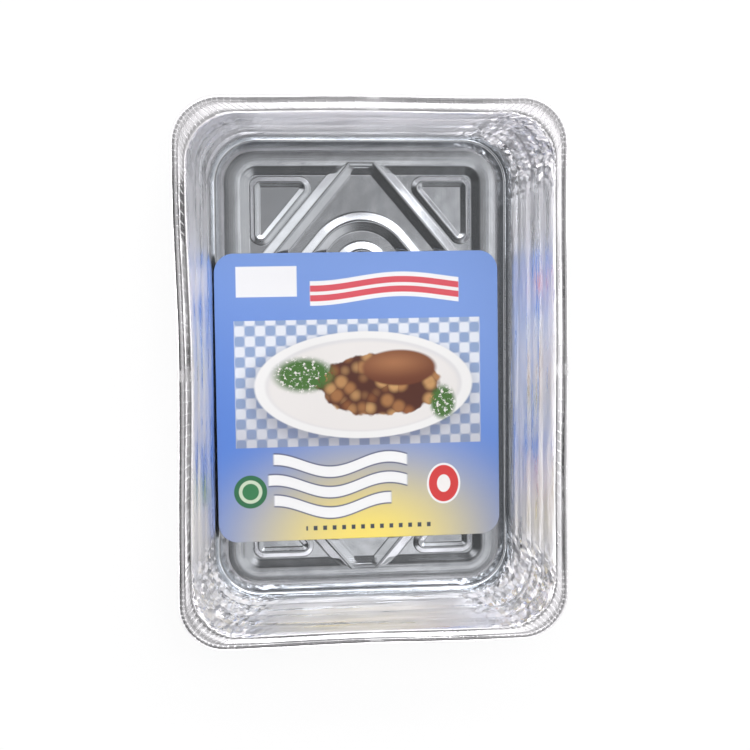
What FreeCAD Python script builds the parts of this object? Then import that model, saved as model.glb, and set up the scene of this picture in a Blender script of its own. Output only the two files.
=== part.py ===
import FreeCAD, Part
import math
import os
from FreeCAD import Vector

# A rectangular roasting pan pressed from one sheet of aluminium foil, with a printed
# card lying inside it. Millimetres. X runs across the pan, Y along it and Z up. The
# origin is under the middle of the pan, on the surface that the pan rests on.

# The pan as a whole
rim_width = 276.0
rim_length = 382.0
pan_height = 66.0
foil = 0.12

# Plan of the base, from wall crease to wall crease
base_width = 213.0
base_length = 329.0

# Corner radii in plan. They stay nearly alike from the base to the rim, so the
# corners lean outward and the flange is widest there.
base_corner = 31.0
lip_corner = 34.0
rim_corner = 33.0

# The rim: a rounded lip, a flange that slopes down outward, and an edge rolled under
# into a flattened bead. The bead's middle lies lower than the lip by bead_drop.
rim_band = 10.5
lip_radius = 1.4
lip_chords = 2
bead_half_width = 2.5
bead_half_height = 2.1
bead_drop = 3.4
bead_chords = 7
bead_start = 145.0
bead_end = -160.0

# Beads pressed round the walls
wall_bead_count = 3
wall_bead_width = 3.2
wall_bead_depth = 0.9

# Pleats that take up the spare foil in the corners
pleats_per_corner = 10
wall_pleat = 0.8
flange_pleat = 0.3
rim_pleat = 0.15

# The raised band round the base, between the foot at the wall and the middle field
foot_width = 1.5
band_outer_run = 5.5
band_crest = 12.6
band_inner_run = 5.6
rib_height = 3.0

# The ribs pressed up in the field
rib_width = 13.4
rib_crest = 1.4
rib_angle = 50.0
diagonal_start = 16.1
arch_from_end = 68.3
arch_radius = 35.0
ring_radius = 14.0
arch_chords = 14
ring_chords = 24

# The triangle ribs in the corners of the field
triangle_width = 7.6
triangle_crest = 1.0
triangle_height = 1.8
triangle_side_inset = 4.2
triangle_end_inset = 5.0
triangle_gap = 1.3
triangle_corner = 4.4
triangle_chords = 4

# The printed card
card_width = 207.0
card_length = 209.0
card_corner = 14.0
card_thickness = 0.45
card_shift_x = -2.4
card_shift_y = -20.8
card_clearance = 0.2

# Depth by which solids reach into each other where they are joined
overlap = 1.0

# Values worked out from the sizes above
chords = 2 * pleats_per_corner
band_width = foot_width + band_outer_run + band_crest + band_inner_run
field_x = base_width / 2 - band_width
field_y = base_length / 2 - band_width
lip_run_x = (rim_width - base_width) / 2 - rim_band
lip_run_y = (rim_length - base_length) / 2 - rim_band
wall_run = (lip_run_x + lip_run_y) / 2

# The base and the walls meet in the middle of the raised band's crest
join_inset = foot_width + band_outer_run + band_crest / 2


def rectangle(half_x, half_y):
    """Corners of an upright rectangle, anticlockwise from the first quarter."""
    return [Vector(half_x, half_y, 0), Vector(-half_x, half_y, 0),
            Vector(-half_x, -half_y, 0), Vector(half_x, -half_y, 0)]


def outline(corners, radius, z, grow=0.0, fold=(0.0, 0.0), steps=chords):
    """Points round a shape with rounded corners.

    grow moves the line outward and keeps the corner centres. fold pushes every second
    point of a corner out and up by its two values, and the others back, as pleats do.
    """
    points = []
    for index, corner in enumerate(corners):
        before = (corner - corners[index - 1]).normalize()
        after = (corners[(index + 1) % len(corners)] - corner).normalize()
        out_before = Vector(before.y, -before.x, 0)
        out_after = Vector(after.y, -after.x, 0)
        turn = before.getAngle(after)
        centre = corner - (out_before + out_after) * (radius / (1 + math.cos(turn)))
        first = math.atan2(out_before.y, out_before.x)
        for step in range(steps + 1):
            angle = first + turn * step / steps
            side = 0 if step in (0, steps) else (-1) ** step
            reach = radius + grow + side * fold[0]
            points.append(Vector(centre.x + reach * math.cos(angle),
                                 centre.y + reach * math.sin(angle),
                                 z + side * fold[1]))
    return points


def closed_wire(points):
    return Part.makePolygon(points + points[:1])


def strip(low, high, closed=True):
    """Faces between two lines, split in two flat halves where a pleat twists them."""
    faces = []
    for index in range(len(low) if closed else len(low) - 1):
        following = (index + 1) % len(low)
        a, b, c, d = low[index], low[following], high[following], high[index]
        twist = abs((b - a).cross(d - a).dot(c - a))
        if twist < 1e-7:
            faces.append(Part.Face(closed_wire([a, b, c, d])))
        else:
            faces.append(Part.Face(closed_wire([a, b, c])))
            faces.append(Part.Face(closed_wire([a, c, d])))
    return faces


def solid_of(faces):
    """One solid inside a closed set of faces."""
    shell = Part.makeShell(faces)
    shell.sewShape()
    solid = Part.Solid(shell)
    if solid.Volume < 0:
        solid.reverse()
    return solid


def prism(points, height):
    return Part.Face(closed_wire(points)).extrude(Vector(0, 0, height))


def frustum(low, high):
    ends = [Part.Face(closed_wire(low)), Part.Face(closed_wire(high))]
    return solid_of(ends + strip(low, high))


class Level:
    """One line of the wall's profile on the upper face of the foil.

    spread is 0 at the base crease and 1 at the lip, out is a distance outside of that,
    z the height, corner the plan radius, and pleat how far its pleats stand out.
    """

    def __init__(self, spread, out, z, corner, pleat=0.0):
        self.spread = spread
        self.out = out
        self.z = z
        self.corner = corner
        self.pleat = pleat
        self.normal = (0.0, 1.0)
        self.mitre = (0.0, foil)

    def place(self):
        return self.spread * wall_run + self.out, self.z

    def outline(self, under):
        """Outline of this level on the upper face, or on the under face."""
        shift_out = self.mitre[0] if under else 0.0
        shift_up = self.mitre[1] if under else 0.0
        half_x = base_width / 2 + self.spread * lip_run_x + self.out
        half_y = base_length / 2 + self.spread * lip_run_y + self.out
        fold = (self.pleat * self.normal[0], self.pleat * self.normal[1])
        return outline(rectangle(half_x, half_y), self.corner, self.z + shift_up,
                       shift_out, fold)


def base_band_levels():
    """From the middle of the raised band's crest, down to the foot and the crease."""
    crest_z = rib_height + foil
    crest_edge = -(foot_width + band_outer_run)
    return [Level(0, -join_inset, crest_z, base_corner - join_inset),
            Level(0, crest_edge, crest_z, base_corner + crest_edge),
            Level(0, -foot_width, foil, base_corner - foot_width),
            Level(0, 0, foil, base_corner)]


def wall_level(z, out, pleat):
    spread = (z - foil) / (pan_height - foil)
    corner = base_corner + (lip_corner - base_corner) * spread
    return Level(spread, out, z, corner, pleat)


def wall_levels():
    """The leaning wall. Its pleats change sides at each bead that is pressed round it."""
    levels = []
    side = 1
    for bead in range(wall_bead_count):
        middle = foil + (pan_height - foil) * (bead + 1) / (wall_bead_count + 1)
        levels.append(wall_level(middle - wall_bead_width / 2, 0, side * wall_pleat))
        levels.append(wall_level(middle, wall_bead_depth, 0))
        side = -side
        levels.append(wall_level(middle + wall_bead_width / 2, 0, side * wall_pleat))
    levels.append(wall_level(pan_height - lip_radius, 0, side * wall_pleat))
    return levels


def rim_levels():
    """The lip, the sloping flange, and the edge that is rolled out, down and under."""
    levels = []
    for step in range(1, lip_chords + 1):
        angle = math.pi / 2 * step / lip_chords
        levels.append(Level(1, lip_radius * (1 - math.cos(angle)),
                            pan_height - lip_radius * (1 - math.sin(angle)),
                            lip_corner, flange_pleat))
    centre_out = rim_band - bead_half_width
    centre_z = pan_height - bead_drop
    centre_corner = rim_corner - bead_half_width
    for step in range(bead_chords + 1):
        angle = math.radians(bead_start + (bead_end - bead_start) * step / bead_chords)
        out = bead_half_width * math.cos(angle)
        levels.append(Level(1, centre_out + out, centre_z + bead_half_height * math.sin(angle),
                            centre_corner + out, rim_pleat))
    return levels


def set_normals(levels):
    """Give each level the direction across the foil, and the step to its under face."""
    for index, level in enumerate(levels):
        sides = []
        for first, second in ((index - 1, index), (index, index + 1)):
            if first < 0 or second == len(levels):
                continue
            x0, z0 = levels[first].place()
            x1, z1 = levels[second].place()
            length = math.hypot(x1 - x0, z1 - z0)
            sides.append(((z1 - z0) / length, -(x1 - x0) / length))
        normal_x = sum(side[0] for side in sides)
        normal_z = sum(side[1] for side in sides)
        size = math.hypot(normal_x, normal_z)
        level.normal = (normal_x / size, normal_z / size)
        cosine = level.normal[0] * sides[0][0] + level.normal[1] * sides[0][1]
        level.mitre = (foil * level.normal[0] / cosine, foil * level.normal[1] / cosine)


def make_walls():
    """The walls, the rim and the outer half of the base band, as one folded sheet."""
    levels = base_band_levels() + wall_levels() + rim_levels()
    set_normals(levels)
    upper = [level.outline(False) for level in levels]
    under = [level.outline(True) for level in levels]
    loop = upper + under[::-1]
    faces = []
    for index in range(len(loop)):
        faces += strip(loop[index], loop[(index + 1) % len(loop)])
    return solid_of(faces)


class Skin:
    """The upper or the under face of the foil in the base.

    lift is how high its flat field lies.
    """

    def __init__(self, upper):
        self.upper = upper
        self.lift = foil if upper else 0.0

    def narrowing(self, run, height):
        """How much narrower a slope's foot and crest lie on this face than on the upper."""
        if self.upper:
            return 0.0
        return foil * math.tan(math.atan2(height, run) / 2)


def sideways(path, closed, ends):
    """At each point of a path, the step across it that keeps its stretches parallel.

    An open path is cut off at each end along the direction that ends gives.
    """
    steps = []
    for index, point in enumerate(path):
        sides = []
        if closed or index > 0:
            sides.append((point - path[index - 1]).normalize())
        if closed or index < len(path) - 1:
            sides.append((path[(index + 1) % len(path)] - point).normalize())
        first = Vector(-sides[0].y, sides[0].x, 0)
        last = Vector(-sides[-1].y, sides[-1].x, 0)
        steps.append((first + last) / (1 + first.dot(last)))
    if not closed:
        steps[0] = ends[0] / ends[0].dot(steps[0])
        steps[-1] = ends[1] / ends[1].dot(steps[-1])
    return steps


def rib(skin, path, width, crest, height, ends=None):
    """A rib with sloping sides along a path, its lower end sunk into the sheet."""
    step = skin.narrowing((width - crest) / 2, height)
    foot = width / 2 - step
    edge = crest / 2 - step
    low = skin.lift
    section = [(-foot, low - overlap), (foot, low - overlap), (foot, low),
               (edge, low + height), (-edge, low + height), (-foot, low)]
    closed = ends is None
    steps = sideways(path, closed, ends)
    lines = [[point + step * u + Vector(0, 0, z) for point, step in zip(path, steps)]
             for u, z in section]
    faces = []
    for index in range(len(section)):
        faces += strip(lines[index], lines[(index + 1) % len(section)], closed)
    if not closed:
        faces.append(Part.Face(closed_wire([line[0] for line in lines])))
        faces.append(Part.Face(closed_wire([line[-1] for line in lines])))
    return solid_of(faces)


def arc_points(centre, radius, first, sweep, steps):
    angles = [first + sweep * step / steps for step in range(steps + 1)]
    return [centre + Vector(math.cos(angle), math.sin(angle), 0) * radius
            for angle in angles]


def ribs_of_one_end(skin):
    """Diagonals, arch, ring and corner triangles at the pan's +Y end."""
    angle = math.radians(rib_angle)
    down = Vector(math.cos(angle), -math.sin(angle), 0)
    outward = Vector(math.sin(angle), math.cos(angle), 0)
    across = Vector(1, 0, 0)
    along = Vector(0, 1, 0)
    side_x = field_x + band_inner_run + band_crest / 4
    end_y = field_y + band_inner_run + band_crest / 4

    on_edge = Vector(diagonal_start, field_y, 0)
    diagonal = [on_edge + down * ((field_y - end_y) / math.sin(angle)),
                on_edge + down * ((side_x - diagonal_start) / math.cos(angle))]
    one_side = [rib(skin, diagonal, rib_width, rib_crest, rib_height, (across, along)),
                corner_triangle(skin, on_edge, down, outward)]
    ribs = one_side + [solid.mirror(Vector(0, 0, 0), Vector(1, 0, 0)) for solid in one_side]

    centre = Vector(0, field_y - arch_from_end, 0)
    arch = arc_points(centre, arch_radius, math.pi / 2 - angle, 2 * angle, arch_chords)
    leg = down * ((side_x - arch[0].x) / math.cos(angle))
    legs_and_arch = [arch[0] + leg] + arch + [arch[-1] + Vector(-leg.x, leg.y, 0)]
    ribs.append(rib(skin, legs_and_arch, rib_width, rib_crest, rib_height, (along, along)))
    ring = arc_points(centre, ring_radius, 0, 2 * math.pi, ring_chords)[:-1]
    ribs.append(rib(skin, ring, rib_width, rib_crest, rib_height))
    return ribs


def corner_triangle(skin, on_diagonal, down, outward):
    """A closed rib along the field's two edges and beside the diagonal."""
    near = on_diagonal + outward * ((rib_width + triangle_width) / 2 + triangle_gap)
    side = field_x - triangle_side_inset
    end = field_y - triangle_end_inset
    at_end = near + down * ((near.y - end) / -down.y)
    at_side = near + down * ((side - near.x) / down.x)
    path = outline([Vector(side, end, 0), at_end, at_side], triangle_corner, 0,
                   steps=triangle_chords)
    return rib(skin, path, triangle_width, triangle_crest, triangle_height)


def base_body(skin, edge, floor):
    """Everything below one face of the base: the band, the sunk field and its ribs."""
    crest_inset = band_width - band_inner_run
    step = skin.narrowing(band_inner_run, rib_height)
    crease = rectangle(base_width / 2, base_length / 2)
    top = skin.lift + rib_height
    body = prism(outline(crease, base_corner, floor, edge), top - floor)
    slope = band_inner_run / rib_height
    field = outline(crease, base_corner, skin.lift, step - band_width)
    mouth = outline(crease, base_corner, top + overlap,
                    step - crest_inset + overlap * slope)
    body = body.cut(frustum(field, mouth))
    ribs = ribs_of_one_end(skin)
    ribs += [solid.mirror(Vector(0, 0, 0), Vector(0, 1, 0)) for solid in ribs]
    return body.fuse(ribs)


def make_base():
    """The pressed base as the space between its upper and its under face."""
    above = base_body(Skin(upper=True), -join_inset, -overlap)
    below = base_body(Skin(upper=False), overlap - join_inset, -2 * overlap)
    return above.cut(below).removeSplitter()


def make_pan():
    return make_walls().fuse(make_base())


def make_card():
    card_z = foil + rib_height + card_clearance
    corners = [corner + Vector(card_shift_x, card_shift_y, 0)
               for corner in rectangle(card_width / 2, card_length / 2)]
    edge = outline(corners, card_corner, card_z)
    return prism(edge, card_thickness)


os.makedirs("parts", exist_ok=True)
make_pan().exportStep("parts/pan.step")
make_card().exportStep("parts/label.step")
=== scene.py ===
import math

import bpy
import numpy as np
from mathutils import Matrix, Vector
from mathutils.geometry import delaunay_2d_cdt


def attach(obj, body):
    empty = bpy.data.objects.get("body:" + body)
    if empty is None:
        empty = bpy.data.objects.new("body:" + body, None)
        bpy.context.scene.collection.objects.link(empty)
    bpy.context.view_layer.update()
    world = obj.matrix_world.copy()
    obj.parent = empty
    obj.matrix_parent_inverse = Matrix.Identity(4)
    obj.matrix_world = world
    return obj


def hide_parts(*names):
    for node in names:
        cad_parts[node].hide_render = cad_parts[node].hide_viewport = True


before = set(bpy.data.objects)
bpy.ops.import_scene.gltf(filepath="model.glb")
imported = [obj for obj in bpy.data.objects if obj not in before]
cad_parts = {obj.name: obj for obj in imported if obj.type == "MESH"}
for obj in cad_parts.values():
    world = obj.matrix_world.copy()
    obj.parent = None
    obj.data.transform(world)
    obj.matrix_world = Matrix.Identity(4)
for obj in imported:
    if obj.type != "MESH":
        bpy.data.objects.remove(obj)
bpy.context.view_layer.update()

# The camera looks down into the pan from nearly straight above, as the photograph does. Its
# place in metres and its turn were fitted to the rim, the base and the ribs.
camera_place = (-0.1597, 0.0815, 1.2273)
camera_turn = Matrix(((0.990553, 0.017117, -0.136061),
                      (-0.007555, 0.997484, 0.070488),
                      (0.136926, -0.068794, 0.988190)))
camera = bpy.data.objects.new("camera", bpy.data.cameras.new("camera"))
camera.data.sensor_width = 36
camera.data.lens = 81.6
camera.data.clip_start = 0.05
camera.data.clip_end = 20
camera.matrix_world = Matrix.Translation(camera_place) @ camera_turn.to_4x4()
bpy.context.scene.collection.objects.link(camera)
bpy.context.scene.camera = camera
bpy.context.scene.view_settings.view_transform = "Standard"


# The pan's base. It is pressed with the walls from one sheet of aluminium foil: a raised
# band runs round it, and stiffening ribs cross the sunk field in the middle. Sizes are in
# millimetres, and each ridge has small rounded creases at its foot and its crest.
foil = 0.12
base_half = (106.5, 164.5)
base_corner = 31.0
foot_inset = 1.5
# How far in from the walls the band's outer foot, its crest's two edges and its inner foot lie.
band = (1.5, 7.0, 19.6, 25.2)
band_crown = 0.45
band_round = 0.7
rib_height = 2.6
rib_half = 6.7
rib_crest = 0.7
rib_round = 0.7
triangle_half = 3.8
triangle_crest = 0.5
triangle_height = 1.55
triangle_round = 0.5
triangle_corner = 4.4
triangle_gap = 1.3
triangle_from_side = 4.2
triangle_from_end = 5.0
rib_angle = math.radians(50)
band_inner_run = 5.6
rib_overrun = 3.1
diagonal_start = 16.1
arch_from_end = 68.3
arch_radius = 35
ring_radius = 14
field_half = (base_half[0] - band[3], base_half[1] - band[3])


def eased(t, ease):
    """A ramp from 0 to 1 with both of its bends rounded over ease."""
    t = np.asarray(t, float)
    low = (t + ease) ** 2 / (4 * ease)
    high = 1 - (1 + ease - t) ** 2 / (4 * ease)
    return np.select([t <= -ease, t < ease, t <= 1 - ease, t < 1 + ease],
                     [0 * t, low, t, high], 1.0)


def rounded_rectangle(half_x, half_y, radius, steps):
    """Points round a rectangle with arcs at its corners, anticlockwise."""
    points = []
    for quarter, (side_x, side_y) in enumerate(((1, 1), (-1, 1), (-1, -1), (1, -1))):
        for step in range(steps + 1):
            angle = (quarter + step / steps) * math.pi / 2
            points.append((side_x * (half_x - radius) + radius * math.cos(angle),
                           side_y * (half_y - radius) + radius * math.sin(angle)))
    return np.array(points)


def inset_in_base(points):
    """How far each point lies inside the crease where the walls start."""
    away = np.abs(points) - (np.array(base_half) - base_corner)
    outside = np.linalg.norm(np.maximum(away, 0), axis=1)
    inside = np.minimum(np.max(away, axis=1), 0)
    return base_corner - outside - inside


def distance_to(points, path, closed):
    """Distance of each point from a line through the points of a path."""
    ends = np.roll(path, -1, axis=0) if closed else path[1:]
    starts = path if closed else path[:-1]
    nearest = np.full(len(points), 1e9)
    for start, end in zip(starts, ends):
        run = end - start
        part = np.clip((points - start) @ run / (run @ run), 0, 1)
        nearest = np.minimum(nearest, np.linalg.norm(points - start - part[:, None] * run, axis=1))
    return nearest


def beside(path, closed, step):
    """The line that runs beside a path, step away from it."""
    before = path - np.roll(path, 1, axis=0)
    after = np.roll(path, -1, axis=0) - path
    if not closed:
        before[0] = after[0]
        after[-1] = before[-1]
    before = before / np.linalg.norm(before, axis=1)[:, None]
    after = after / np.linalg.norm(after, axis=1)[:, None]
    left = np.stack((-before[:, 1], before[:, 0]), axis=1)
    right = np.stack((-after[:, 1], after[:, 0]), axis=1)
    mitre = (left + right) / (1 + np.sum(left * right, axis=1))[:, None]
    return path + mitre * step


class Rib:
    """A ridge pressed up along a path, with its half widths, height and rounding."""

    def __init__(self, path, closed, foot, crest, height, rounding):
        self.path = np.array(path, float)
        self.closed = closed
        self.foot = foot
        self.crest = crest
        self.height = height
        self.rounding = rounding

    def rise(self, points):
        away = distance_to(points, self.path, self.closed)
        run = self.foot - self.crest
        return self.height * eased((self.foot - away) / run, self.rounding / run)

    def creases(self):
        """Offsets across the rib at which its shape bends, on one side of the middle."""
        bends = [0.0]
        for edge in (self.crest, self.foot):
            bends += [edge + self.rounding * part for part in (-1, -0.5, 0, 0.5, 1)]
        bends += [self.crest + self.rounding + 0.4, self.foot - self.rounding - 0.4,
                  self.foot + self.rounding + 0.5]
        return sorted(set(round(bend, 3) for bend in bends if bend >= 0))


def ribs_of_quarters():
    """The diagonals, arches, rings and corner triangles of the whole field."""
    down = np.array((math.cos(rib_angle), -math.sin(rib_angle)))
    outward = np.array((math.sin(rib_angle), math.cos(rib_angle)))
    side_x = field_half[0] + band_inner_run + rib_overrun
    end_y = field_half[1] + band_inner_run + rib_overrun
    start = np.array((diagonal_start, field_half[1]))
    diagonal = [start + down * ((field_half[1] - end_y) / math.sin(rib_angle)),
                start + down * ((side_x - start[0]) / math.cos(rib_angle))]

    centre = np.array((0.0, field_half[1] - arch_from_end))
    turns = np.pi / 2 - rib_angle + 2 * rib_angle * np.arange(25) / 24
    arch = centre + arch_radius * np.stack((np.cos(turns), np.sin(turns)), axis=1)
    leg = down * ((side_x - arch[0][0]) / math.cos(rib_angle))
    arch = np.vstack((arch[0] + leg, arch, arch[-1] + leg * (-1, 1)))
    turns = 2 * np.pi * np.arange(48) / 48
    ring = centre + ring_radius * np.stack((np.cos(turns), np.sin(turns)), axis=1)

    near = start + outward * (rib_half + triangle_half + triangle_gap)
    side = field_half[0] - triangle_from_side
    end = field_half[1] - triangle_from_end
    corners = [np.array((side, end)), near + down * ((near[1] - end) / -down[1]),
               near + down * ((side - near[0]) / down[0])]
    triangle = []
    for index, corner in enumerate(corners):
        into = (corner - corners[index - 1]) / np.linalg.norm(corner - corners[index - 1])
        away = corners[(index + 1) % 3] - corner
        away = away / np.linalg.norm(away)
        turn = math.acos(into @ away)
        left = np.array((-into[1], into[0]))
        arc_centre = (corner - into * triangle_corner * math.tan(turn / 2)
                      + left * triangle_corner)
        for step in range(8):
            swing = turn * step / 7
            spoke = -left * math.cos(swing) + into * math.sin(swing)
            triangle.append(arc_centre + spoke * triangle_corner)

    ribs = []
    for way_y in (1, -1):
        ribs.append(Rib(arch * (1, way_y), False, rib_half, rib_crest, rib_height, rib_round))
        ribs.append(Rib(ring * (1, way_y), True, rib_half, rib_crest, rib_height, rib_round))
        for way_x in (1, -1):
            ways = (way_x, way_y)
            ribs.append(Rib(np.array(diagonal) * ways, False, rib_half, rib_crest, rib_height,
                            rib_round))
            ribs.append(Rib(np.array(triangle) * ways, True, triangle_half, triangle_crest,
                            triangle_height, triangle_round))
    return ribs


def base_height(points, ribs):
    """Height of the pressed base over its field."""
    inset = inset_in_base(points)
    outer = eased((inset - band[0]) / (band[1] - band[0]), band_round / (band[1] - band[0]))
    inner = eased((band[3] - inset) / (band[3] - band[2]), band_round / (band[3] - band[2]))
    across = np.clip((inset - band[1]) / (band[2] - band[1]) * 2 - 1, -1, 1)
    height = (rib_height - band_crown * across ** 2) * outer * inner
    for rib in ribs:
        height = np.maximum(height, rib.rise(points))
    return height


def base_lines(outer_ring, ribs):
    """Lines that the base's faces follow: the outer ring, the band's bends and the ribs'."""
    lines = [(outer_ring, True)]
    insets = []
    for edge in band[1:]:
        insets += [edge + band_round * part for part in (-1, -0.5, 0, 0.5, 1)]
        insets += [edge - 1.2, edge + 1.2]
    insets += [2.0, 2.4, 2.8] + [band[1] + step for step in (2.4, 3.6, 4.8, 6.3, 7.8, 9.0, 10.2)]
    for inset in sorted(insets):
        lines.append((rounded_rectangle(base_half[0] - inset, base_half[1] - inset,
                                        base_corner - inset, 16), True))
    for rib in ribs:
        for bend in rib.creases():
            for step in ((bend, -bend) if bend else (0.0,)):
                lines.append((beside(rib.path, rib.closed, step), rib.closed))
    return lines


def filled(lines, output_type):
    """Points and triangles that fill a drawing of lines, and the seeds behind each point."""
    seeds = []
    edges = []
    for line, closed in lines:
        first = len(seeds)
        seeds += [Vector(point) for point in line]
        edges += [(first + step, first + step + 1) for step in range(len(line) - 1)]
        if closed:
            edges.append((first + len(line) - 1, first))
    flat, _, triangles, origins, _, _ = delaunay_2d_cdt(seeds, edges, [], output_type, 1e-4)
    return np.array([tuple(point) for point in flat]), triangles, origins


# The pan's walls and rim. The same sheet is drawn up into leaning walls with three beads
# pressed round them. Its spare foil folds into pleats in the corners, and its edge is
# turned out into a flange and rolled down into a bead, so that no raw edge shows.
rim_half = (138.0, 191.0)
pan_height = 66.0
rim_band = 10.5
wall_top = 66.0
lip_run = (rim_half[0] - base_half[0] - rim_band, rim_half[1] - base_half[1] - rim_band)
lip_corner = 34.0
bead_half = (2.5, 2.1)
bead_out = rim_band - bead_half[0]
bead_z = pan_height - 3.4
roll_corner = 30.5
wall_span = (0.012, 0.968)
wall_beads = (0.25, 0.5, 0.75)
wall_rows = 34
arc_columns = 80
side_step = 6.5
pleated_reach = 24.0
pleated_steps = 16
corner_reach = 26
bead_depth = 0.9
bead_reach = 2.1
far_push = 1.9
left_push = 2.3
rim_waver = (0.35, 0.45)
near_droop = 0.11
corner_droop = 0.25
# The depths and pitches of the folds, in millimetres, and the seed of their random places.
fold_sizes = {"Pleat Pitch": 5.0, "Pleat Depth": 0.4, "Crumple Depth": 0.5, "Streak Depth": 0.5,
              "Crimp Pitch": 3.1, "Crimp Depth": 0.16, "Seed": 4.0}


def side_shares(length):
    """Places along a straight side, closer together near the pleated corners."""
    near = pleated_reach * (np.arange(pleated_steps) / pleated_steps)
    middle = np.linspace(pleated_reach, length - pleated_reach,
                         int((length - 2 * pleated_reach) / side_step) + 1)
    return np.concatenate((near, middle, length - near[:0:-1])) / length


straight = (2 * (base_half[0] - base_corner), 2 * (base_half[1] - base_corner))
shares = (side_shares(straight[0]), side_shares(straight[1]))


def level_ring(spread, out, corner):
    """One level of the wall, as points round the pan."""
    half_x = base_half[0] + spread * lip_run[0] + out
    half_y = base_half[1] + spread * lip_run[1] + out
    points = []
    for quarter, (side_x, side_y) in enumerate(((1, 1), (-1, 1), (-1, -1), (1, -1))):
        turns = (quarter + np.arange(arc_columns) / arc_columns) * np.pi / 2
        middle = np.array((side_x * (half_x - corner), side_y * (half_y - corner)))
        points.append(middle + corner * np.stack((np.cos(turns), np.sin(turns)), axis=1))
        turn = (quarter + 1) * np.pi / 2
        first = middle + corner * np.array((math.cos(turn), math.sin(turn)))
        if quarter % 2 == 0:
            last = first * (-1, 1)
        else:
            last = first * (1, -1)
        share = shares[quarter % 2][:, None]
        points.append(first + (last - first) * share)
    return np.vstack(points)


def along_the_wall():
    """For each point of a ring, its way from the middle of its corner, and how pleated."""
    ways = []
    pleated = []
    arc = base_corner * 1.05 * np.pi / 2
    for quarter in range(4):
        step = np.arange(arc_columns) / arc_columns
        ways.append((step - 0.5) * arc)
        pleated.append(np.ones(arc_columns))
        share = shares[quarter % 2]
        length = straight[quarter % 2]
        from_first = share * length
        to_next = (1 - share) * length
        ways.append(np.where(share < 0.5, arc / 2 + from_first, -arc / 2 - to_next))
        pleated.append(np.clip(1 - np.minimum(from_first, to_next) / pleated_reach, 0, 1))
    pleated = np.concatenate(pleated)
    return np.concatenate(ways), pleated * pleated * (3 - 2 * pleated)


def wall_profile():
    """Levels from the foot of the walls to the end of the rolled edge.

    Each has its spread from crease to lip, its way out from that, its height, its corner
    radius, its share of the wall's height and its share of the flange.
    """
    levels = [(0, -foot_inset, foil, base_corner - foot_inset, 0, 0),
              (0, -0.8, foil, base_corner - 0.8, 0, 0),
              (0, -0.1, foil + 0.12, base_corner - 0.1, 0, 0)]
    for row in range(wall_rows + 1):
        share = wall_span[0] + (wall_span[1] - wall_span[0]) * row / wall_rows
        depth = 0.0
        for bead in wall_beads:
            away = (share - bead) * (wall_top - foil)
            depth += bead_depth * max(0.0, 1 - (away / bead_reach) ** 2)
        levels.append((share, depth, foil + (wall_top - foil) * share,
                       base_corner + (lip_corner - base_corner) * share, share, 0))
    levels += [(1, 0.1, pan_height - 1.25, lip_corner, 1, 0),
               (1, 0.45, pan_height - 0.5, lip_corner, 1, 0.1),
               (1, 1.1, pan_height - 0.08, lip_corner, 1, 0.3),
               (1, 1.8, pan_height - 0.06, lip_corner - 0.5, 1, 0.6),
               (1, 2.5, pan_height - 0.3, lip_corner - 1.0, 1, 1),
               (1, 3.7, pan_height - 0.78, lip_corner - 2.0, 1, 1),
               (1, 4.9, pan_height - 1.26, lip_corner - 3.0, 1, 1)]
    for step in range(15):
        angle = math.radians(145 - 305 * step / 14)
        out = bead_half[0] * math.cos(angle)
        levels.append((1, bead_out + out, bead_z + bead_half[1] * math.sin(angle),
                       roll_corner + out, 1, 1 if step < 2 else 0.35))
    return levels


def leaned(points, share, way_out):
    """The left side and the far lip are pushed in a little, and the rim isn't quite true."""
    moved = points.copy()
    far = np.clip((points[:, 1] - 100) / 50, 0, 1) ** 2
    moved[:, 1] -= far_push * share ** 2 * far * (1 - min(way_out / bead_out, 1.0))
    left = np.clip(-points[:, 0] / 110, 0, 1) ** 6
    middle = np.cos(np.clip((points[:, 1] + 15) / 170, -1, 1) * np.pi / 2) ** 2
    moved[:, 0] += left_push * share ** 2 * left * middle
    moved[:, 0] += rim_waver[0] * share ** 2 * np.sin(points[:, 1] / 31 + 1.0)
    moved[:, 1] += rim_waver[1] * share ** 2 * np.sin(points[:, 0] / 27 + 2.1)
    return moved


def wall_rings(levels, way):
    """The points of each level, with the pushed in sides and the droop of the rim."""
    in_corner = np.sin(np.clip(1 - np.abs(way) / corner_reach, 0, 1) * np.pi / 2)
    rings = []
    for spread, out, z, corner, rise, _ in levels:
        ring = leaned(level_ring(spread, out, corner), spread, out if rise == 1 else 0.0)
        near = np.clip((-ring[:, 1] - 120) / 50, 0, 1)
        drop = near_droop * near * max(0.0, min(out, 6.0) - 1.5) if rise == 1 else 0.0
        if rise == 1 and out < 5.2:
            drop = drop + corner_droop * in_corner * max(0.0, out - 2.5)
        rings.append(np.column_stack((ring, z - drop * np.ones(len(ring)))))
    return rings


def wall_faces(rows, count):
    """Faces from each level of the walls to the next."""
    faces = []
    for row in range(rows - 1):
        low = row * count
        high = low + count
        for column in range(count):
            following = (column + 1) % count
            faces.append((low + column, high + column, high + following, low + following))
    return faces


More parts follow.
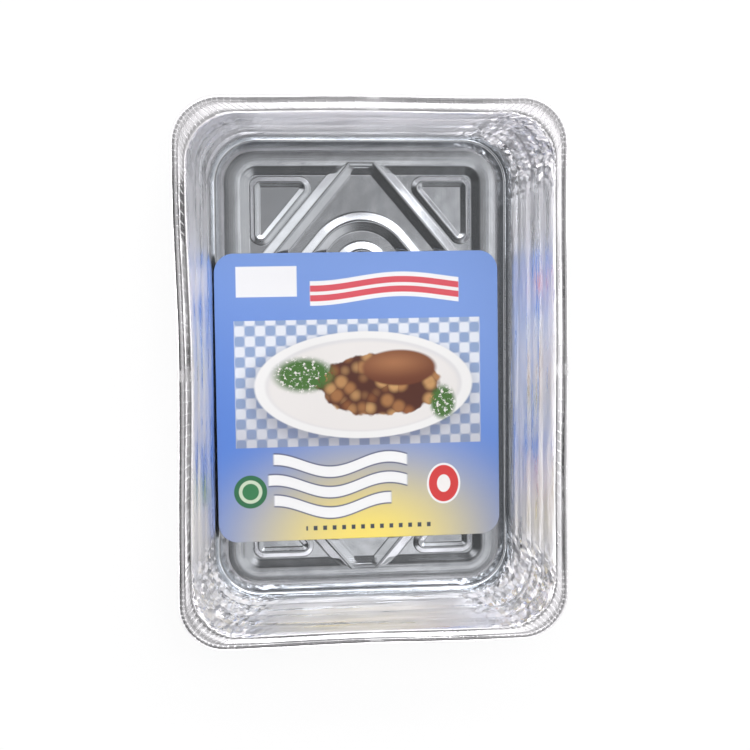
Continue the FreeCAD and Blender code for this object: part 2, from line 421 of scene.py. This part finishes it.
def joined_sheet():
    """The whole pan as one open sheet, its faces turned up and inward."""
    levels = wall_profile()
    way, pleated = along_the_wall()
    rings = wall_rings(levels, way)
    count = len(rings[0])
    wall_points = np.vstack(rings)
    faces = wall_faces(len(levels), count)

    ribs = ribs_of_quarters()
    flat, triangles, origins = filled(base_lines(rings[0][:, :2], ribs), 0)
    heights = foil + base_height(flat, ribs)
    number = {}
    for index, source in enumerate(origins):
        for seed in source:
            if seed < count:
                number[index] = seed
    inner = [index for index in range(len(flat)) if index not in number]
    for step, index in enumerate(inner):
        number[index] = len(wall_points) + step
    for corners in triangles:
        faces.append(tuple(number[index] for index in corners))

    points = np.vstack((wall_points, np.column_stack((flat[inner], heights[inner]))))
    spare = np.zeros(len(inner))
    rise = np.repeat([level[4] for level in levels], count)
    flange = np.repeat([level[5] for level in levels], count)
    columns = {"way": np.concatenate((np.tile(way, len(levels)), spare)),
               "pleated": np.concatenate((np.tile(pleated, len(levels)), spare)),
               "rise": np.concatenate((rise, spare)),
               "flange": np.concatenate((flange, spare)),
               "inset": np.concatenate((np.zeros(len(wall_points)), inset_in_base(flat[inner])))}
    mesh = bpy.data.meshes.new("foil_pan")
    mesh.from_pydata((points * 0.001).tolist(), [], faces)
    mesh.update()
    for name, values in columns.items():
        mesh.attributes.new(name, "FLOAT", "POINT").data.foreach_set("value", values)
    mesh.polygons.foreach_set("use_smooth", [True] * len(mesh.polygons))
    return mesh


class Wire:
    """A socket that takes part in sums. Each operation adds one Math node to its tree."""

    def __init__(self, tree, socket):
        self.tree = tree
        self.socket = socket

    def math(self, operation, *values):
        node = self.tree.nodes.new("ShaderNodeMath")
        node.operation = operation
        for socket, value in zip(node.inputs, values):
            plug(self.tree, socket, value)
        return Wire(self.tree, node.outputs[0])

    def __add__(self, other):
        return self.math("ADD", self, other)

    def __sub__(self, other):
        return self.math("SUBTRACT", self, other)

    def __rsub__(self, other):
        return self.math("SUBTRACT", other, self)

    def __mul__(self, other):
        return self.math("MULTIPLY", self, other)

    def __truediv__(self, other):
        return self.math("DIVIDE", self, other)

    def __rtruediv__(self, other):
        return self.math("DIVIDE", other, self)

    def __pow__(self, other):
        return self.math("POWER", self, other)

    def __abs__(self):
        return self.math("ABSOLUTE", self)

    def __neg__(self):
        return self.math("MULTIPLY", self, -1.0)

    __radd__ = __add__
    __rmul__ = __mul__

    def least(self, other):
        return self.math("MINIMUM", self, other)

    def most(self, other):
        return self.math("MAXIMUM", self, other)

    def sine(self):
        return self.math("SINE", self)

    def floor(self):
        return self.math("FLOOR", self)

    def parity(self):
        """1 on even whole steps and -1 on odd ones."""
        return 1 - 2 * self.floor().math("FLOORED_MODULO", self.floor(), 2.0)

    def ramp(self, low, high):
        """Goes from 0 at low to 1 at high, with both ends eased."""
        node = self.tree.nodes.new("ShaderNodeMapRange")
        node.interpolation_type = "SMOOTHSTEP"
        for name, value in (("Value", self), ("From Min", low), ("From Max", high)):
            plug(self.tree, node.inputs[name], value)
        return Wire(self.tree, node.outputs["Result"])


def plug(tree, socket, value):
    """Links a wire to a socket, or sets the socket to a value."""
    if isinstance(value, Wire):
        tree.links.new(value.socket, socket)
    else:
        socket.default_value = value


class Bench:
    """A node tree in the making. put adds a node, set up first and then plugged in."""

    def __init__(self, tree):
        self.tree = tree

    def put(self, kind, settings=None, inputs=None, out=0):
        node = self.tree.nodes.new(kind)
        for name, value in (settings or {}).items():
            setattr(node, name, value)
        for name, value in (inputs or {}).items():
            plug(self.tree, self.open_socket(node.inputs, name), value)
        if not node.outputs:
            return node
        if isinstance(out, tuple):
            return [Wire(self.tree, self.open_socket(node.outputs, name)) for name in out]
        return Wire(self.tree, self.open_socket(node.outputs, out))

    def open_socket(self, sockets, name):
        if isinstance(name, int):
            return [socket for socket in sockets if socket.enabled][name]
        return [socket for socket in sockets if socket.enabled and socket.name == name][0]

    def parts(self, vector):
        node = self.tree.nodes.new("ShaderNodeSeparateXYZ")
        plug(self.tree, node.inputs[0], vector)
        return [Wire(self.tree, output) for output in node.outputs]

    def join(self, x, y, z):
        return self.put("ShaderNodeCombineXYZ", None, {"X": x, "Y": y, "Z": z})

    def noise(self, vector, scale, detail=2.0, rough=0.5):
        return self.put("ShaderNodeTexNoise", None, {"Vector": vector, "Scale": scale,
                                                     "Detail": detail, "Roughness": rough})

    def mixed(self, share, first, second):
        return self.put("ShaderNodeMix", {"data_type": "RGBA"},
                        {"Factor": share, "A": first, "B": second})


def blank(owner):
    """An empty bench for the nodes of a material or a world."""
    owner.use_nodes = True
    owner.node_tree.nodes.clear()
    return Bench(owner.node_tree)


def smoother_corner(x, y):
    """1 in the far left corner, which has fewer folds than the others, and 0 elsewhere."""
    return (-x).ramp(0.05, 0.08) * y.ramp(0.1, 0.13)


def foil_material():
    """Bright rolled aluminium, streaked on its walls, with facets in the pleated corners."""
    material = bpy.data.materials.new("foil")
    bench = blank(material)
    place = bench.put("ShaderNodeTexCoord", None, None, "Object")
    x, y, z = bench.parts(place)
    pleated, rise, flange, way, inset = [
        bench.put("ShaderNodeAttribute", {"attribute_name": name}, None, "Fac")
        for name in ("pleated", "rise", "flange", "way", "inset")]

    wall = rise.ramp(0.02, 0.12)
    up = rise * pan_height
    smoother = smoother_corner(x, y)
    corner = x.math("SIGN", x) * 5.0 + y.math("SIGN", y) * 11.0
    bent = bench.noise(bench.join(way * 0.12, up * 0.12, corner), 1.0, 2.0) * 5.0
    slanted = bench.join((way + up * 0.6 + bent) * 0.34, (up - way * 0.25 - bent) * 0.17, corner)
    colour, middle = bench.put("ShaderNodeTexVoronoi", {"feature": "F1"},
                               {"Vector": slanted, "Scale": 1.0}, ("Color", "Position"))
    across, along, _ = bench.parts(slanted)
    middle_across, middle_along, _ = bench.parts(middle)
    tilt_across, tilt_along, _ = bench.parts(colour)
    facets = ((across - middle_across) * (tilt_across - 0.5) * 2.4
              + (along - middle_along) * (tilt_along - 0.5) * 3.4)
    facets = facets * pleated * wall * (1 - flange.ramp(0.0, 0.3)) * (1 - 0.75 * smoother)

    rolled = bench.noise(bench.join(x * 2600.0, y * 60.0, z * 400.0), 1.0, 2.0, 0.6)
    dents = bench.noise(place, 34.0, 2.0, 0.5)
    drawn = (bench.noise(bench.join(x * 12.0, y * 12.0, z * 170.0), 1.0, 3.0, 0.55)
             + 0.25 * bench.noise(bench.join(x * 30.0, y * 30.0, z * 520.0), 1.0, 2.0, 0.6))
    pressed = bench.noise(bench.join(inset * 0.9, x * 8.0, y * 8.0), 1.0, 3.0, 0.6)
    grain = bench.noise(place, 700.0, 2.0, 0.6)
    tick_line = way + (bench.noise(bench.join(way * 0.04, x * 3.0, y * 3.0), 1.0) - 0.5) * 9.0
    ticks = (tick_line * 0.95).sine().ramp(0.8, 1.0)
    nicks = (tick_line * 1.7).sine().ramp(0.55, 1.0)
    height = (rolled * 0.012 + dents * 0.5 + facets + drawn * wall * 1.0
              + pressed * inset.ramp(2.0, 8.0) * (1 - inset.ramp(22.0, 30.0)) * 0.07
              + grain * wall * 0.08 + ticks * flange * (1 - pleated) * 0.12
              - nicks * flange * pleated * 0.32)
    bump = bench.put("ShaderNodeBump", None, {"Strength": 1.0, "Distance": 0.001,
                                              "Height": height})
    tarnish = bench.noise(place, 22.0, 3.0, 0.6).ramp(0.35, 0.7)
    colour = bench.mixed(tarnish, (0.86, 0.885, 0.92, 1), (0.79, 0.82, 0.86, 1))
    # Painted light: the walls take a paler colour than the base, though both are the same sheet,
    # so that they render brighter.
    colour = bench.mixed(rise.ramp(0.02, 0.2), colour, (0.93, 0.915, 0.925, 1))
    far_wall = y.ramp(0.15, 0.175) * wall
    streak = bench.noise(bench.join(x * 12.0, y * 12.0, z * 140.0 + 3.0), 1.0, 3.0, 0.6)
    streak = streak.ramp(0.36, 0.60)
    creased = (wall * (1 - flange.ramp(0.0, 0.5))).most(0.5 * flange)
    above_foot = rise.ramp(0.06, 0.26)
    rough = 0.15 + 0.05 * rolled + 0.03 * tarnish + 0.12 * far_wall * above_foot
    rough = rough + creased * above_foot * (0.05 + 0.30 * streak) * (1 - 0.45 * pleated)
    rough = rough + 0.24 * pleated * flange
    shader = bench.put("ShaderNodeBsdfPrincipled", None,
                       {"Base Color": colour, "Metallic": 1.0, "Roughness": rough,
                        "Normal": bump})
    bench.put("ShaderNodeOutputMaterial", None, {"Surface": shader})
    return material


def fold_tree(material):
    """Geometry nodes that fold, crimp and crumple the sheet along its own normals."""
    tree = bpy.data.node_groups.new("fold_foil", "GeometryNodeTree")
    face = tree.interface
    face.new_socket("Geometry", in_out="INPUT", socket_type="NodeSocketGeometry")
    for name in fold_sizes:
        face.new_socket(name, in_out="INPUT", socket_type="NodeSocketFloat")
    face.new_socket("Geometry", in_out="OUTPUT", socket_type="NodeSocketGeometry")
    bench = Bench(tree)
    source = tree.nodes.new("NodeGroupInput")
    given = {socket.name: Wire(tree, socket) for socket in source.outputs if socket.name}

    def kept(name):
        return bench.put("GeometryNodeInputNamedAttribute", {"data_type": "FLOAT"},
                         {"Name": name}, "Attribute")

    way = kept("way")
    pleated = kept("pleated")
    rise = kept("rise")
    flange = kept("flange")
    place = bench.put("GeometryNodeInputPosition")
    x, y, z = bench.parts(place)
    seed = given["Seed"]

    row = rise * (len(wall_beads) + 1.0)
    in_row = row - row.floor()
    between_beads = ((in_row * math.pi).sine()).most(0.0) ** 0.6
    smoother = smoother_corner(x, y)
    on_wall = rise.ramp(0.08, 0.22) * (1 - rise.ramp(0.985, 0.999)) * (1 - 0.8 * smoother)
    stray = bench.noise(bench.join(x * 1000.0 + seed, y * 1000.0, z * 1000.0), 0.09, 2.0) - 0.5
    turn = (way / given["Pleat Pitch"] + stray * 1.3) * (2 * math.pi)
    patchy = bench.noise(bench.join(x * 1000.0, y * 1000.0 + seed, z * 1000.0), 0.05)
    patchy = patchy.ramp(0.3, 0.6)
    pleats = row.parity() * turn.sine() * between_beads * on_wall * (pleated ** 1.5)
    pleats = pleats * given["Pleat Depth"] * (0.35 + patchy)

    scales = bench.put("ShaderNodeTexVoronoi", {"feature": "F1", "voronoi_dimensions": "3D"},
                       {"Vector": bench.join(x * 230.0 + seed, y * 230.0, z * 150.0),
                        "Scale": 1.0, "Randomness": 1.0}, "Distance")
    crumple = (scales - 0.45) * given["Crumple Depth"] * pleated * on_wall

    streaks = bench.noise(bench.join(x * 9.0 + seed, y * 9.0, z * 190.0), 1.0, 2.0, 0.5) - 0.5
    streaks = streaks * given["Streak Depth"] * on_wall * (1 - pleated * 0.5)

    crimp = -(way / given["Crimp Pitch"] * (2 * math.pi) + stray * 3.0).sine().ramp(0.55, 1.0)
    uneven = bench.noise(bench.join(x * 1000.0, y * 1000.0, seed), 0.11).ramp(0.35, 0.65)
    crimps = crimp * given["Crimp Depth"] * flange * pleated * (0.2 + 0.8 * uneven)

    depth = (pleats + crumple + streaks + crimps) * 0.001
    normal = bench.put("GeometryNodeInputNormal")
    push = bench.put("ShaderNodeVectorMath", {"operation": "SCALE"},
                     {"Vector": normal, "Scale": depth})
    moved = bench.put("GeometryNodeSetPosition", None,
                      {"Geometry": given["Geometry"], "Offset": push})
    real = bench.put("GeometryNodeRealizeInstances", None, {"Geometry": moved})
    faced = bench.put("GeometryNodeSetMaterial", None, {"Geometry": real, "Material": material})
    bench.put("NodeGroupOutput", None, {"Geometry": faced})
    return tree


def finished(thing):
    """The shape that an object's modifiers give it, as a plain mesh of its own."""
    bpy.context.view_layer.update()
    graph = bpy.context.evaluated_depsgraph_get()
    mesh = bpy.data.meshes.new_from_object(thing.evaluated_get(graph),
                                           preserve_all_data_layers=True, depsgraph=graph)
    thing.modifiers.clear()
    thing.data = mesh
    return thing


foil_skin = foil_material()
pan = bpy.data.objects.new("foil_pan", joined_sheet())
bpy.context.scene.collection.objects.link(pan)
folding = pan.modifiers.new("folding", "NODES")
folding.node_group = fold_tree(foil_skin)
for socket in folding.node_group.interface.items_tree:
    if socket.name in fold_sizes:
        folding[socket.identifier] = fold_sizes[socket.name]
sheet = pan.modifiers.new("sheet", "SOLIDIFY")
sheet.thickness = foil * 0.001
sheet.offset = -1.0
sheet.use_rim = True
finished(pan)
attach(pan, "root")
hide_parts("pan")


# The printed card that lies in the pan, flat on the ribs. It is coated board, printed on
# its upper face with plain shapes, and bare grey board underneath and at its cut edges.
# The card's middle, half sizes, corner and thickness are in millimetres.
card_middle = (-3.2, -20.8)
card_half = (103.5, 104.5)
card_corner = 14.0
card_thick = 0.45
card_under = 2.9
card_turn = math.radians(0.35)


def card_mesh():
    """A flat sheet of board with round corners, cut in a fine grid and curled a little."""
    lines = []
    for inset in (0.0, 0.5, 3.0, 8.0, 13.0):
        lines.append((rounded_rectangle(card_half[0] - inset, card_half[1] - inset,
                                        card_corner - inset * 0.95, 10), True))
    for row in np.linspace(-88, 88, 23):
        lines.append((np.array([(step, row) for step in np.linspace(-87, 87, 23)]), False))
    flat, triangles, _ = filled(lines, 1)
    curl = (0.5 * np.clip(-flat[:, 0] / card_half[0], 0, 1) ** 4
            + 0.35 * np.clip(flat[:, 1] / card_half[1], 0, 1) ** 4
            + 0.12 * np.sin(flat[:, 0] / 33 + 0.6) * np.sin(flat[:, 1] / 41) ** 2)
    turned = np.array(((math.cos(card_turn), math.sin(card_turn)),
                       (-math.sin(card_turn), math.cos(card_turn))))
    laid = flat @ turned + np.array(card_middle)
    points = np.column_stack((laid, card_under + card_thick + np.maximum(curl, 0)))
    mesh = bpy.data.meshes.new("printed_card")
    mesh.from_pydata((points * 0.001).tolist(), [], [tuple(corners) for corners in triangles])
    mesh.update()
    mesh.polygons.foreach_set("use_smooth", [True] * len(mesh.polygons))
    return mesh


def card_material():
    """Glossy print in blue and gold: a dish on a cloth, waves, a sash, a box and two discs."""
    material = bpy.data.materials.new("card")
    bench = blank(material)
    place, facing = bench.put("ShaderNodeTexCoord", None, None, ("Object", "Normal"))
    x, y, _ = bench.parts(place)
    u = (x * 1000.0 - card_middle[0]) + (y * 1000.0 - card_middle[1]) * math.sin(card_turn)
    v = (y * 1000.0 - card_middle[1]) - (x * 1000.0 - card_middle[0]) * math.sin(card_turn)

    def disc(middle_u, middle_v, half_u, half_v, soft=0.3):
        away = (((u - middle_u) / half_u) ** 2.0 + ((v - middle_v) / half_v) ** 2.0) ** 0.5
        return 1 - away.ramp(1 - soft / half_v, 1 + soft / half_v)

    def panel(middle_u, middle_v, half_u, half_v, soft=0.3):
        across = abs(u - middle_u).ramp(half_u - soft, half_u + soft)
        along = abs(v - middle_v).ramp(half_v - soft, half_v + soft)
        return (1 - across) * (1 - along)

    colour = bench.mixed((u * 0.4 + v).ramp(-70.0, 100.0), (0.115, 0.245, 0.68, 1),
                         (0.215, 0.35, 0.745, 1))
    glow = disc(6.0, -108.0, 76.0, 52.0, 50.0)
    colour = bench.mixed(glow, colour, (0.97, 0.78, 0.18, 1))

    checks = (u * 0.42).sine() * (v * 0.42).sine()
    cloth = bench.mixed(checks.ramp(-0.25, 0.25), (0.30, 0.40, 0.62, 1), (0.80, 0.83, 0.90, 1))
    cloth = bench.mixed((-v).ramp(-10.0, 40.0) * 0.35, cloth, (0.20, 0.17, 0.20, 1))
    dish = disc(4.0, 8.0, 80.0, 39.0, 0.5)
    shade = disc(2.0, 4.0, 84.0, 41.0, 6.0)
    cloth = bench.mixed(shade * 0.45, cloth, (0.10, 0.10, 0.16, 1))
    cloth = bench.mixed(dish, cloth, (0.88, 0.87, 0.86, 1))
    cloth = bench.mixed(disc(4.0, 8.0, 72.0, 34.0, 0.8) * 0.5, cloth, (0.62, 0.60, 0.62, 1))
    cloth = bench.mixed(disc(4.0, 7.0, 70.0, 32.5, 1.5), cloth, (0.83, 0.80, 0.78, 1))

    flat_place = bench.join(u, v, 0.0)
    cell, tint = bench.put("ShaderNodeTexVoronoi", {"feature": "F1"},
                           {"Vector": flat_place, "Scale": 0.11}, ("Distance", "Color"))
    shade_of_cell, _, _ = bench.parts(tint)
    rolls = bench.mixed(shade_of_cell, (0.30, 0.11, 0.04, 1), (0.62, 0.36, 0.15, 1))
    rolls = bench.mixed(cell.ramp(0.25, 0.75), rolls, (0.09, 0.03, 0.02, 1))
    ragged = (bench.noise(flat_place, 0.09, 2.0) - 0.5) * 18.0
    heap = 1 - ((((u - 16.0) / 46.0) ** 2.0 + ((v - 8.0) / 23.0) ** 2.0) ** 0.5
                + ragged * 0.02).ramp(0.95, 1.02)
    cloth = bench.mixed(heap, cloth, rolls)
    loaf = disc(30.0, 20.0, 27.0, 13.0, 1.0)
    crust = bench.mixed(disc(26.0, 24.0, 17.0, 6.0, 9.0), (0.16, 0.05, 0.025, 1),
                        (0.42, 0.18, 0.08, 1))
    cloth = bench.mixed(loaf, cloth, crust)
    leaf = bench.noise(flat_place, 0.32, 3.0, 0.7).ramp(0.38, 0.46)
    other_leaves = leaf * disc(62.0, -6.0, 9.0, 12.0, 3.0)
    leaves = leaf * (disc(-40.0, 16.0, 21.0, 12.0, 3.0)).most(other_leaves)
    cloth = bench.mixed(leaves, cloth, (0.07, 0.17, 0.04, 1))
    colour = bench.mixed(panel(0.0, 10.0, 90.0, 46.0), colour, cloth)

    swing = (u * 0.075).sine() * 5.0
    for low, reach, start in ((-50.0, 50.0, -14.0), (-65.0, 52.0, -16.0), (-80.0, 44.0, -20.0)):
        beside_wave = abs(v - swing - low)
        ends = 1 - abs(u - start).ramp(reach - 2.0, reach)
        colour = bench.mixed((1 - beside_wave.ramp(4.3, 5.3)) * ends, colour,
                             (0.12, 0.13, 0.22, 1))
        colour = bench.mixed((1 - beside_wave.ramp(3.5, 4.1)) * ends, colour,
                             (0.93, 0.93, 0.93, 1))

    sash = abs(v - 78.0 - (u * 0.05).sine() * 3.0)
    sash_ends = 1 - abs(u - 20.0).ramp(54.0, 55.0)
    colour = bench.mixed((1 - sash.ramp(8.6, 9.2)) * sash_ends, colour, (0.92, 0.91, 0.92, 1))
    colour = bench.mixed((1 - sash.ramp(5.4, 6.0)) * sash_ends, colour, (0.72, 0.10, 0.13, 1))
    colour = bench.mixed((1 - sash.ramp(1.0, 1.5)) * sash_ends, colour, (0.92, 0.88, 0.88, 1))
    colour = bench.mixed(panel(-66.0, 84.0, 22.0, 11.0), colour, (0.90, 0.90, 0.92, 1))
    colour = bench.mixed(disc(62.0, -66.0, 12.5, 15.0), colour, (0.92, 0.90, 0.90, 1))
    colour = bench.mixed(disc(62.0, -66.0, 11.0, 13.5), colour, (0.70, 0.06, 0.06, 1))
    colour = bench.mixed(disc(62.0, -66.0, 5.0, 6.5), colour, (0.93, 0.90, 0.88, 1))
    colour = bench.mixed(disc(-80.0, -68.0, 12.0, 12.0), colour, (0.04, 0.17, 0.08, 1))
    colour = bench.mixed(disc(-80.0, -68.0, 8.5, 8.5), colour, (0.62, 0.72, 0.55, 1))
    colour = bench.mixed(disc(-80.0, -68.0, 6.0, 6.0), colour, (0.05, 0.22, 0.09, 1))
    dots = (u * 0.9).sine().ramp(0.1, 0.5) * panel(6.0, -96.0, 46.0, 1.6)
    colour = bench.mixed(dots, colour, (0.07, 0.08, 0.10, 1))

    upward = bench.parts(facing)[2].ramp(0.4, 0.7)
    fibres = bench.noise(place, 900.0, 2.0, 0.6)
    board = bench.mixed(fibres, (0.42, 0.40, 0.36, 1), (0.56, 0.54, 0.50, 1))
    colour = bench.mixed(upward, board, colour)
    peel = bench.noise(place, 1400.0, 2.0, 0.5)
    waves = bench.noise(place, 26.0, 2.0, 0.5)
    bump = bench.put("ShaderNodeBump", None, {"Strength": 0.3, "Distance": 0.0001,
                                              "Height": peel + waves * 2.0})
    rough = 0.85 - upward * (0.53 - 0.08 * waves)
    shader = bench.put("ShaderNodeBsdfPrincipled", None,
                       {"Base Color": colour, "Roughness": rough, "Normal": bump})
    bench.put("ShaderNodeOutputMaterial", None, {"Surface": shader})
    return material


card = bpy.data.objects.new("printed_card", card_mesh())
bpy.context.scene.collection.objects.link(card)
card.data.materials.append(card_material())
board = card.modifiers.new("board", "SOLIDIFY")
board.thickness = card_thick * 0.001
board.offset = -1.0
board.use_rim = True
finished(card)
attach(card, "root")
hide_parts("label")


# A plain pale floor, and a studio of soft light: bright panels beyond the far end of the
# pan, a grey ceiling with pale fields, white haze low down, and dark screens at the left and
# behind the camera. A weak round lamp hangs over the pan.
floor_mesh = bpy.data.meshes.new("floor")
floor_mesh.from_pydata([(-3, -3, -0.0004), (3, -3, -0.0004), (3, 3, -0.0004), (-3, 3, -0.0004)],
                       [], [(0, 1, 2, 3)])
floor = bpy.data.objects.new("floor", floor_mesh)
bpy.context.scene.collection.objects.link(floor)
floor_look = bpy.data.materials.new("floor")
ground = blank(floor_look)
camera_ray, glossy_ray, through_ray = ground.put("ShaderNodeLightPath", None, None,
                                                 ("Is Camera Ray", "Is Glossy Ray",
                                                  "Is Transmission Ray"))
shaded = ground.put("ShaderNodeBsdfDiffuse", None, {"Color": (0.94, 0.94, 0.94, 1)})
plain = ground.put("ShaderNodeEmission", None, {"Color": (1, 1, 1, 1), "Strength": 1.0})
share = (camera_ray + glossy_ray + through_ray).least(1.0) * 0.85
mixed_floor = ground.put("ShaderNodeMixShader", None, {0: share, 1: shaded, 2: plain})
ground.put("ShaderNodeOutputMaterial", None, {"Surface": mixed_floor})
floor_mesh.materials.append(floor_look)

studio = bpy.data.worlds.new("studio")
bpy.context.scene.world = studio
sky = blank(studio)
heading = sky.put("ShaderNodeTexCoord", None, None, "Generated")
sky_x, sky_y, sky_z = sky.parts(heading)
level = (sky_x ** 2.0 + sky_y ** 2.0) ** 0.5


def toward(azimuth, elevation, inner, outer):
    """A soft round patch of the studio, in degrees. Azimuth 0 is +X and 90 is +Y."""
    a, e = math.radians(azimuth), math.radians(elevation)
    cosine = (sky_x * (math.cos(a) * math.cos(e)) + sky_y * (math.sin(a) * math.cos(e))
              + sky_z * math.sin(e))
    return cosine.ramp(math.cos(math.radians(outer)), math.cos(math.radians(inner)))


def sector(azimuth, half, soft):
    """A slice of the studio about an azimuth, from the floor to the ceiling, in degrees."""
    a = math.radians(azimuth)
    cosine = (sky_x * math.cos(a) + sky_y * math.sin(a)) / level
    return cosine.ramp(math.cos(math.radians(half + soft)), math.cos(math.radians(half)))


screens = (0.72 * toward(205, 46, 18, 46)).most(0.75 * toward(272, 60, 8, 14))
screens = screens.most(0.6 * toward(268, 42, 10, 22)).most(0.75 * toward(86, 65, 12, 18))
screens = screens.most(0.5 * toward(90, 52, 5, 9)).most(0.8 * toward(300, 74.5, 3, 6))
light = (0.22 + 0.26 * toward(15, 42, 18, 42) + 0.58 * toward(135, 45, 12, 26)
         + 0.30 * toward(45, 38, 10, 24) + 0.10 * toward(90, 84, 3, 8)) * (1 - screens)
light = (light + 0.85 * toward(316, 79, 3, 6) + 0.70 * toward(5, 73, 3, 6)
         + 0.3 * toward(315, 42, 8, 16))
haze = (1 - sky_z.ramp(0.54, 0.61)) * (1 - 0.6 * toward(10, 32, 10, 40))
light = light * (1 - haze) + 1.0 * haze

wide_panel = (1 - sky_z.ramp(0.68, 0.75)) * sky_z.ramp(0.25, 0.4)
far_panel = (1 - sky_z.ramp(0.66, 0.73)) * sky_z.ramp(0.4, 0.5)
light = (light + 0.5 * wide_panel * sector(90, 45, 12)
         + 2.3 * far_panel * sector(78, 38, 10))
light = (light + 3.4 * toward(10, 13, 8, 16) + 3.4 * toward(270, 12, 10, 20)
         + 2.6 * toward(180, 12, 10, 20))
lit = sky.put("ShaderNodeBackground", None, {"Color": (0.985, 0.985, 1.0, 1),
                                             "Strength": light})
sky.put("ShaderNodeOutputWorld", None, {"Surface": lit})

lamp_place = (0.1, 0.4, 2.2)
lamp = bpy.data.objects.new("ceiling_light", bpy.data.lights.new("ceiling_light", "AREA"))
lamp.data.shape = "DISK"
lamp.data.size = 1.6
lamp.data.energy = 20.0
lamp.location = lamp_place
lamp.rotation_euler = Vector(lamp_place).to_track_quat("Z", "Y").to_euler()
lamp.visible_glossy = False
bpy.context.scene.collection.objects.link(lamp)
